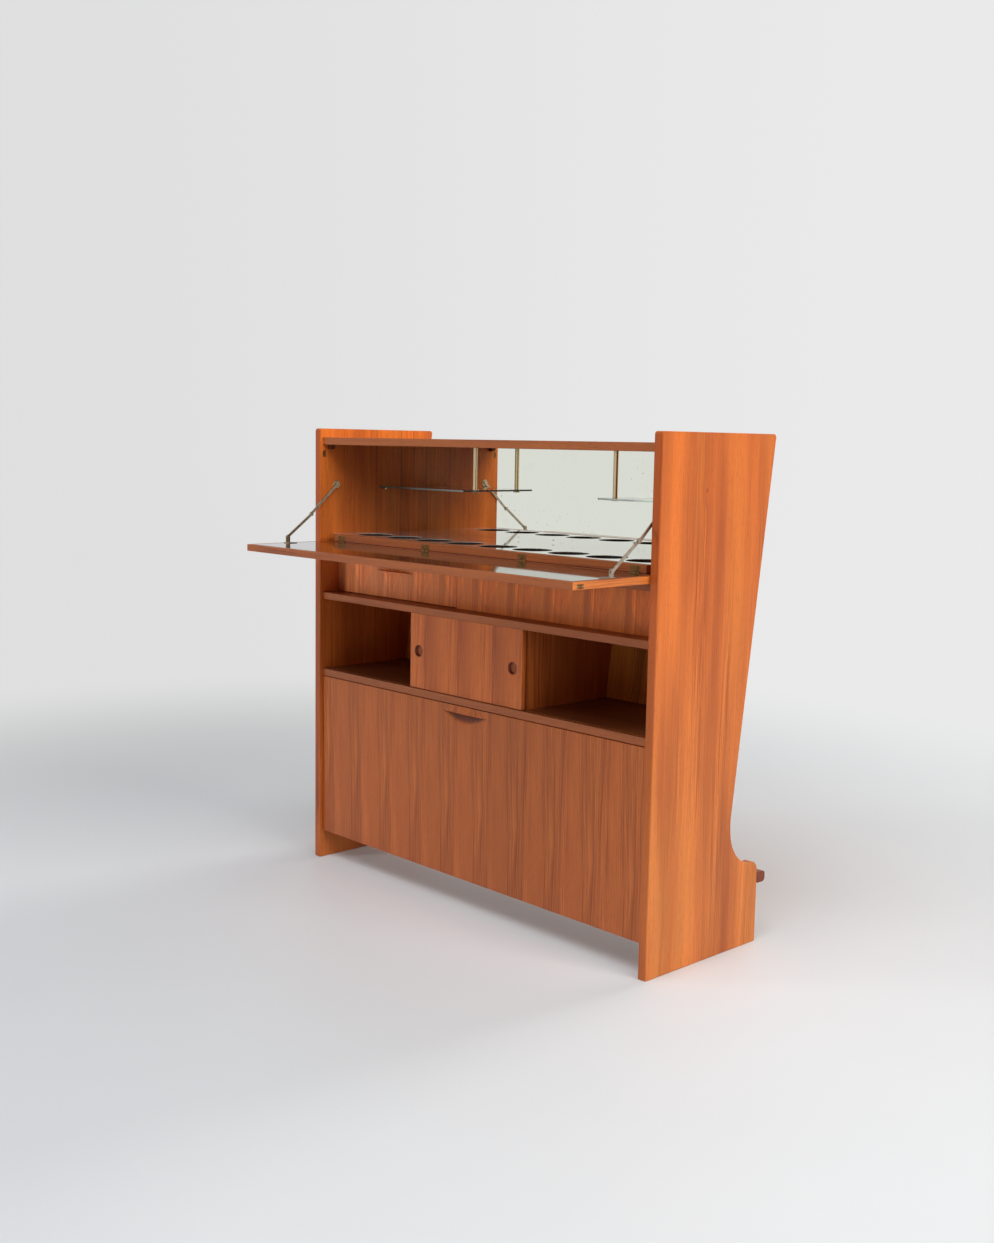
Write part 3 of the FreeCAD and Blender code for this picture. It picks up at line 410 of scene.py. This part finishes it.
def pane(name):
    """Clear shelf glass, greener and duller at its ground edges."""
    g = Finish(name)
    x, y, z = g.place()
    level = g.facing((0.0, 0.0, 1.0))
    under = g.facing((0.0, 0.0, -1.0))
    rim = g.maths("SUBTRACT", 1.0, g.maths("MAXIMUM", level, under))
    film = g.smooth(g.noise(g.vector(x, y, z), 22.0, 4.0), 0.42, 0.75)
    g.put("Base Color", g.mix(rim, (0.84, 0.92, 0.89), (0.26, 0.34, 0.31)))
    g.put("Roughness", g.add(g.times(film, 0.04), g.times(rim, 0.30)))
    g.put("Transmission Weight", 0.84)
    g.put("IOR", 1.5)
    return g


def shade_blackened_shelf(name, seed):
    """Shelf under the bottle tray: teak, its top painted near-black as painted shade seen through
    the holes.
    """
    g = wood(name, TEAK_SOLID, "F", seed, lively=0.6)
    x, y, z = g.place()
    # painted shade: the top faces near-black, with a faint speckle
    shade_speckle = g.noise(g.vector(x, y, z), 700.0, 2.0)
    painted_black_shade = g.mix(shade_speckle, (0.006, 0.006, 0.006), (0.020, 0.019, 0.018))
    colour = g.shader.inputs["Base Color"].links[0].from_socket
    g.put("Base Color", g.mix(g.facing((0.0, 0.0, 1.0)), colour, painted_black_shade))
    return g


def shaded_top(g, tone):
    """Wood painted darker on top: painted shade."""
    return toned(g, g.facing((0.0, 0.0, 1.0)), tone)


def joint_shadow_line(g, height):
    """Wood with a painted shadow line along a height, where another part meets it."""
    z = g.place()[2]
    line = g.times(g.smooth(z, height + 0.0030, height + 0.0012),
                   g.smooth(z, height - 0.0030, height - 0.0010))
    return toned(g, line, (0.30, 0.20, 0.16))


def backed(name, seed):
    """Back panel: teak towards the guests, a paler yellow veneer inside."""
    g = wood(name, scaled(TEAK, 0.85, 0.95, 1.2), "B", seed, leaf=BACK_LEAF, lively=0.7)
    return toned(g, g.facing((0.0, -1.0, 0.0)), (1.6, 2.3, 1.8))


def side_painted_light(g, inward, bar_floor):
    """Side panel: painted light, paler towards the floor (a painted sheen) and on its face inside
    the bar; its front edge darker.
    """
    z = g.place()[2]
    # painted sheen: paler towards the floor
    toned(g, g.smooth(z, 1.05, 0.10), (1.06, 1.28, 1.75))
    # painted light on the inner face, inside the bar above its floor
    toned(g, g.times(g.facing((inward, 0.0, 0.0)), g.smooth(z, bar_floor, bar_floor + 0.01)),
          (1.42, 1.5, 1.5))
    return toned(g, g.facing((0.0, -1.0, 0.0)), (0.72, 0.62, 0.62))


# ---- finish of every node -------------------------------------------------
def finishes():
    """Material of each CAD node, made from its grain direction and tone."""
    steel = metal("stay_metal", (0.52, 0.43, 0.33), 0.34, 0.40)
    brass = metal("brass", (0.60, 0.46, 0.26), 0.24, 0.30)
    bronze = metal("bronze", (0.27, 0.13, 0.045), 0.40, 0.60)
    polished = metal("polished_brass", (0.62, 0.50, 0.31), 0.10, 0.10, brushed=0.1)
    flap_low, flap_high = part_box("flap_panel")
    fascia_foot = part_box("fascia_fixed")[0].z
    door_face, drawer_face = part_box("lower_door")[0].y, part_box("drawer_front")[0].y
    # the fascia's tone is the front teak made paler: painted light that makes up for the shade
    # under the flap
    fascia = {"tone": scaled(TEAK_FRONT, 1.6, 1.55, 1.2), "grain": "Z", "seed": 0.55,
              "leaf": LEAF_PITCH, "joint": LEAF_JOINT,
              "tongues": (fascia_foot + TONGUE_RISE, TONGUE_CURVE)}
    # painted light: the fascia and drawer grip paler towards the left end
    fascia_light_ramp = 0.05, -0.45, (1.20, 1.50, 2.9)
    door = {"tone": TEAK_FRONT, "grain": "Z", "seed": 0.08, "leaf": LEAF_PITCH,
            "joint": LEAF_JOINT}
    made = {
        "tray_core": wood("tray_core", (0.03, 0.020, 0.015), "F", 0.7),
        "tray_laminate": laminate("pale_laminate", (0.72, 0.73, 0.69), 0.06, 0.20, coat=1.0),
        "flap_laminate": laminate("black_laminate", (0.008, 0.008, 0.009), 0.05, 0.05, coat=0.6),
        "mirror": silvering("mirror"),
        "bottle_shelf": shade_blackened_shelf("bottle_shelf", 0.61),
        "flap_panel": wood("flap_panel", TEAK_SOLID, "F", 0.93, lively=0.5,
                           mitre=(flap_high.x, flap_low.y, flap_high.y, LIPPING_W)),
        "back_panel": backed("back_panel", 0.44),
        "finger_cups": cups("finger_cups", 0.83),
        "lower_door": wood("lower_door", **door),
        # the grips' scoops carry painted shade, darker deeper behind the front face
        "door_grip": shaded_hollow(wood("door_grip", **door), door_face,
                              door_face + DOOR_SCOOP, 1.0),
        "sliding_door": wood("sliding_door", **{**door, "tone": scaled(TEAK_FRONT, 1.27),
                                                "seed": 0.27}),
        "drawer_front": painted_light_ramp(wood("drawer_front", **fascia), *fascia_light_ramp),
        "drawer_grip": shaded_hollow(painted_light_ramp(wood("drawer_grip", **fascia), *fascia_light_ramp), drawer_face,
                                drawer_face + DRAWER_SCOOP, 0.45),
        "side_left": side_painted_light(wood("side_left", TEAK, "S", 0.31, lively=0.5, bands=1.5),
                               1.0, flap_high.z),
        "side_right": side_painted_light(wood("side_right", TEAK, "S", 0.54, lively=0.5, bands=1.8,
                                     knot=KNOT), -1.0, flap_high.z),
    }
    made["fascia_fixed"] = made["drawer_front"]
    flap = made["flap_panel"]
    ends = flap.facing((1.0, 0.0, 0.0)), flap.facing((-1.0, 0.0, 0.0))
    toned(flap, flap.maths("MAXIMUM", *ends), (2.2, 2.4, 1.8))
    made["glass_shelf_left"] = made["glass_shelf_right"] = pane("glass")
    made["shelf_rods"] = polished
    for node in ("shelf_pegs", "stay_wall_plates"):
        made[node] = brass
    for node in ("flap_strikes", "flap_catches", "flap_hinge_fixed", "flap_hinge_moving",
                 "flap_hinge_pins", "door_hinge_fixed", "door_hinge_moving", "door_hinge_pins"):
        made[node] = bronze
    for node in ("stay_brackets", "stay_upper_left", "stay_upper_right", "stay_lower_left",
                 "stay_lower_right"):
        made[node] = steel
    for seed, node in enumerate(("divider_left", "divider_right")):
        made[node] = wood(node, TEAK_FRONT, "S", 0.9 + seed * 0.13)
    for seed, node in enumerate(("top_panel", "shelf_upper", "shelf_lower", "bottom_panel",
                                 "mirror_board", "tray_rail")):
        made[node] = wood(node, TEAK_SOLID, "F", 0.17 * seed + 0.05, lively=0.6)
    # painted shade on the floor of the bays
    shaded_top(made["shelf_lower"], (0.60, 0.66, 0.78))
    # painted shadow along the rail's joint with the flap
    joint_shadow_line(made["tray_rail"], flap_high.z)
    for seed, node in enumerate(("foot_rail", "tray_cleat_left", "tray_cleat_right",
                                 "flap_stops")):
        made[node] = wood(node, TEAK_DARK, "X", 0.21 * seed + 0.4, lively=0.5)
    for seed, node in enumerate(("drawer_side_left", "drawer_side_right")):
        made[node] = wood(node, BEECH, "Y", 0.3 * seed + 0.2, lively=0.4)
    for seed, node in enumerate(("drawer_back", "drawer_bottom", "drawer_partition",
                                 "foot_rail_dowels")):
        made[node] = wood(node, BEECH, "X", 0.3 * seed + 0.6, lively=0.4)
    return {node: g.material for node, g in made.items()}


def dress_nodes():
    made = finishes()
    for name, obj in frame["nodes"].items():
        obj.data.materials.clear()
        obj.data.materials.append(made[name])
    return made


# ---- screws ---------------------------------------------------------------
SCREW_SIDES = 20
SLOT_SHARE, SCREW_TOP_SHARE, SCREW_PROUD, SCREW_SUNK = 0.16, 0.86, 0.00025, 0.0003
HINGE_SCREW_R, HINGE_SCREW_REACH, RAIL_SCREW_DROP, FLAP_SCREW_IN = 0.0022, 0.0085, 0.0045, 0.0035
BRACKET_SCREW_R, BRACKET_SCREW_REACH, BRACKET_SCREW_IN, BRACKET_T = 0.0024, 0.007, 0.006, 0.0015
STRIKE_SCREW_R, STRIKE_SCREW_REACH = 0.0018, 0.0065
PLATE_SCREW_R, PLATE_SCREW_REACH = 0.0017, 0.0075

# ---- turned pieces --------------------------------------------------------
TURNED_SIDES, ROD_R, ROD_HEAD_T, ROD_EASE = 40, 0.0055, 0.003, 0.0006


def half_disc(mesh, radius, chord, height, sign):
    """One half of a slotted head: a flat D with a sloping rim."""
    start = math.asin(chord / radius)
    angles = [start + (math.pi - 2 * start) * i / (SCREW_SIDES // 2)
              for i in range(SCREW_SIDES // 2 + 1)]
    rings = [[mesh.verts.new((share * radius * math.cos(a),
                              sign * max(chord, share * radius * math.sin(a)), z))
              for a in angles]
             for share, z in ((1.0, 0.0), (SCREW_TOP_SHARE, height))]
    for i in range(len(angles) - 1):
        mesh.faces.new((rings[0][i], rings[0][i + 1], rings[1][i + 1], rings[1][i]))
    mesh.faces.new((rings[0][0], rings[1][0], rings[1][-1], rings[0][-1]))
    mesh.faces.new(rings[1])


def screw(name, at, normal, radius, body, turn, finish):
    """Slotted countersunk screw head, its face a little proud of what it holds."""
    mesh = bmesh.new()
    floor = [mesh.verts.new((radius * math.cos(a), radius * math.sin(a), -SCREW_SUNK))
             for a in (2 * math.pi * i / SCREW_SIDES for i in range(SCREW_SIDES))]
    mesh.faces.new(floor)
    for sign in (1, -1):
        half_disc(mesh, radius, radius * SLOT_SHARE, SCREW_PROUD, sign)
    mesh.normal_update()
    bmesh.ops.recalc_face_normals(mesh, faces=mesh.faces)
    data = bpy.data.meshes.new(name)
    mesh.to_mesh(data)
    mesh.free()
    obj = bpy.data.objects.new(name, data)
    obj.matrix_world = (Matrix.Translation(at)
                        @ Vector(normal).to_track_quat("Z", "Y").to_matrix().to_4x4()
                        @ Matrix.Rotation(turn, 4, "Z"))
    bpy.context.scene.collection.objects.link(obj)
    data.materials.append(finish)
    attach(obj, body)


def islands(node):
    """Lowest and highest corner of each separate solid of a node, from left to right."""
    mesh = bmesh.new()
    mesh.from_mesh(frame["nodes"][node].data)
    bmesh.ops.remove_doubles(mesh, verts=mesh.verts, dist=1e-6)
    todo, boxes = set(mesh.verts), []
    while todo:
        front = [todo.pop()]
        found = []
        while front:
            vert = front.pop()
            found.append(vert.co.copy())
            near = {e.other_vert(vert) for e in vert.link_edges} & todo
            todo -= near
            front += near
        boxes.append((Vector(min(c[i] for c in found) for i in range(3)),
                      Vector(max(c[i] for c in found) for i in range(3))))
    mesh.free()
    return sorted(boxes, key=lambda box: box[0].x)


def hinge_screws(finish):
    for number, (low, high) in enumerate(islands("flap_hinge_fixed")):
        middle = (low.x + high.x) / 2
        for side in (-1, 1):
            at = Vector((middle + side * HINGE_SCREW_REACH, RAIL_FACE_Y,
                         high.z - RAIL_SCREW_DROP))
            screw(f"rail_screw_{number}_{side + 1}", at, (0, -1, 0), HINGE_SCREW_R, "cabinet",
                  0.7 * number + side, finish)
    for number, (low, high) in enumerate(islands("flap_hinge_moving")):
        middle = (low.x + high.x) / 2
        for side in (-1, 1):
            at = Vector((middle + side * HINGE_SCREW_REACH, low.y + FLAP_SCREW_IN, FLAP_TOP_Z))
            screw(f"flap_screw_{number}_{side + 1}", at, (0, 0, 1), HINGE_SCREW_R, "flap",
                  0.9 * number - side, finish)


def bracket_screws(finish):
    for number, (low, high) in enumerate(islands("stay_brackets")):
        for side in (-1, 1):
            at = (low + high) / 2
            at += Vector((BRACKET_SCREW_IN * (1 if low.x < 0 else -1),
                          side * BRACKET_SCREW_REACH, 0.0))
            at.z = low.z + BRACKET_T
            screw(f"bracket_screw_{number}_{side + 1}", at, (0, 0, 1), BRACKET_SCREW_R, "flap",
                  0.5 + side + number, finish)


def plate_screws(node, body, reach, radius, finish, axis):
    """Two screws through a small plate on a side wall or a flap end."""
    for number, (low, high) in enumerate(islands(node)):
        inward = 1 if low.x < 0 else -1
        if body == "flap":
            inward = -inward
        face = high.x if inward > 0 else low.x
        for side in (-1, 1):
            at = (low + high) / 2
            at.x = face
            at[axis] += side * reach
            screw(f"{node}_screw_{number}_{side + 1}", at, (inward, 0, 0), radius, body,
                  number + 0.8 * side, finish)


def turned(name, columns, body, finish):
    """Smooth round pieces on upright axes: each column is its foot and (radius, height)s."""
    mesh = bmesh.new()
    for foot, outline in columns:
        angles = [2 * math.pi * i / TURNED_SIDES for i in range(TURNED_SIDES)]
        rings = [[mesh.verts.new(foot + Vector((radius * math.cos(a), radius * math.sin(a), rise)))
                  for a in angles]
                 for radius, rise in outline]
        mesh.faces.new(rings[0][::-1])
        mesh.faces.new(rings[-1])
        for low, high in zip(rings, rings[1:]):
            for i in range(TURNED_SIDES):
                after = (i + 1) % TURNED_SIDES
                mesh.faces.new((low[i], low[after], high[after], high[i])).smooth = True
    data = bpy.data.meshes.new(name)
    mesh.to_mesh(data)
    mesh.free()
    data.set_sharp_from_angle(angle=math.radians(50))
    obj = bpy.data.objects.new(name, data)
    bpy.context.scene.collection.objects.link(obj)
    data.materials.append(finish)
    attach(obj, body)
    return obj


def shelf_rods(finish):
    """Round brass rods with a flat head under the glass, in place of the CAD's flats."""
    columns = []
    for low, high in islands("shelf_rods"):
        foot = Vector(((low.x + high.x) / 2, (low.y + high.y) / 2, low.z))
        head = (high.x - low.x) / 2
        columns.append((foot, ((head - ROD_EASE, 0.0), (head, ROD_EASE), (head, ROD_HEAD_T),
                               (ROD_R, ROD_HEAD_T), (ROD_R, high.z - low.z))))
    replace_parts(turned("shelf_rods_turned", columns, "cabinet", finish), "shelf_rods")


RAIL_FACE_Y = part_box("flap_hinge_fixed")[1].y - HINGE_LEAF_T
FLAP_TOP_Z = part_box("flap_panel")[1].z - HINGE_LEAF_SINK
MIRROR_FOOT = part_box("mirror")[0].z

materials = dress_nodes()
hinge_screws(materials["shelf_pegs"])
bracket_screws(materials["stay_brackets"])
plate_screws("flap_strikes", "flap", STRIKE_SCREW_REACH, STRIKE_SCREW_R,
             materials["shelf_pegs"], 1)
plate_screws("stay_wall_plates", "cabinet", PLATE_SCREW_REACH, PLATE_SCREW_R,
             materials["shelf_pegs"], 2)
shelf_rods(materials["shelf_rods"])


# ---- studio ---------------------------------------------------------------
def backdrop(g, across):
    """Tone of the backdrop, dimmer at the left of the main view than at its right."""
    return g.mix(g.smooth(across, -BACKDROP_TURN, BACKDROP_TURN), BACKDROP_DIM, BACKDROP_LIT)


def floor():
    """Studio floor: takes the shadows near the bar and fades into the backdrop."""
    g = Finish("floor", roughness=0.5, specular=0.25)
    x, y, z = g.place()
    away = g.maths("SQRT", g.add(g.times(x, x), g.times(y, y)))
    across = g.maths("DIVIDE", g.dot(g.vector(x, y, z), ACROSS), g.add(away, 1.5))
    fade = g.times(g.smooth(away, FADE_FROM, FADE_TO), g.seen())
    scuff = g.noise(g.vector(x, y, z), SCUFFS_PER_M, 4.0)
    g.put("Base Color", g.mix(scuff, scaled(FLOOR_TONE, 1.0 - SCUFF_DEPTH),
                              scaled(FLOOR_TONE, 1.0 + SCUFF_DEPTH)))
    glow = g.node("Emission", {"Color": backdrop(g, across), "Strength": 1.0}).outputs[0]
    mixed = g.node("MixShader", {0: fade, 1: g.shader.outputs[0], 2: glow}).outputs[0]
    g.feed(g.tree.nodes["Material Output"].inputs["Surface"], mixed)
    data = bpy.data.meshes.new("floor")
    rim = [(FLOOR_R * sx, FLOOR_R * sy, 0.0) for sx, sy in ((-1, -1), (1, -1), (1, 1), (-1, 1))]
    data.from_pydata(rim, [], [(0, 1, 2, 3)])
    data.materials.append(g.material)
    obj = bpy.data.objects.new("floor", data)
    bpy.context.scene.collection.objects.link(obj)


def lamp(name, at, aim, size, power, tone):
    data = bpy.data.lights.new(name, "AREA")
    data.size, data.energy, data.color = size, power, tone
    obj = bpy.data.objects.new(name, data)
    obj.matrix_world = Matrix.Translation(at) @ (
        Vector(aim) - Vector(at)).to_track_quat("-Z", "Y").to_matrix().to_4x4()
    obj.visible_glossy = False
    bpy.context.scene.collection.objects.link(obj)


def world():
    """Pale surroundings, plainly seen in mirror and glass and softer as light."""
    made = bpy.data.worlds.new("studio")
    g = Graph(made)
    light = g.node("Background", {"Color": AMBIENT_TONE, "Strength": AMBIENT}).outputs[0]
    toward = g.node("TexCoord", {}).outputs["Generated"]
    shown = g.node("Background", {"Color": backdrop(g, g.dot(toward, ACROSS)),
                                  "Strength": 1.0}).outputs[0]
    mixed = g.node("MixShader", {0: g.seen(), 1: light, 2: shown}).outputs[0]
    g.feed(g.tree.nodes["World Output"].inputs["Surface"], mixed)
    bpy.context.scene.world = made


def camera():
    """Camera of the main view: yaw from +Y, pitch and roll in radians."""
    forward = Vector((-math.sin(YAW) * math.cos(PITCH), math.cos(YAW) * math.cos(PITCH),
                      math.sin(PITCH)))
    level = forward.cross(Vector((0, 0, 1))).normalized()
    tall = level.cross(forward)
    right = level * math.cos(ROLL) + tall * math.sin(ROLL)
    up = tall * math.cos(ROLL) - level * math.sin(ROLL)
    data = bpy.data.cameras.new("camera")
    data.sensor_fit, data.sensor_width, data.lens = "AUTO", SENSOR, LENS
    data.clip_start, data.clip_end = 0.05, 60
    obj = bpy.data.objects.new("camera", data)
    obj.matrix_world = Matrix.Translation(CAMERA_AT) @ Matrix(
        (right, up, -forward)).transposed().to_4x4()
    bpy.context.scene.collection.objects.link(obj)
    bpy.context.scene.camera = obj


floor()
world()
lamp("key", (4.7, 0.2, 2.3), (0.1, 0, 0.5), 2.6, 154.0, (1.0, 0.98, 0.90))
lamp("fill", (4.3, -1.8, 2.2), (0.1, 0, 0.5), 2.0, 20.0, (1.0, 0.97, 0.90))
lamp("window", (-2.9, -3.9, 1.0), (0, 0, 0.6), 1.0, 84.0, (1.0, 1.0, 0.97))
lamp("top", (0.8, -1.9, 4.0), (0, 0, 0.4), 2.4, 98.0, (0.96, 0.98, 1.0))
lamp("guests", (-0.5, 4.6, 2.4), (0, 0, 0.5), 3.0, 48.0, (1.0, 1.0, 1.0))
lamp("far", (0.6, 8.5, 1.7), (0, 0, 0.2), 2.4, 540.0, (1.0, 0.99, 0.92))
camera()
bpy.context.scene.view_settings.view_transform = "Standard"
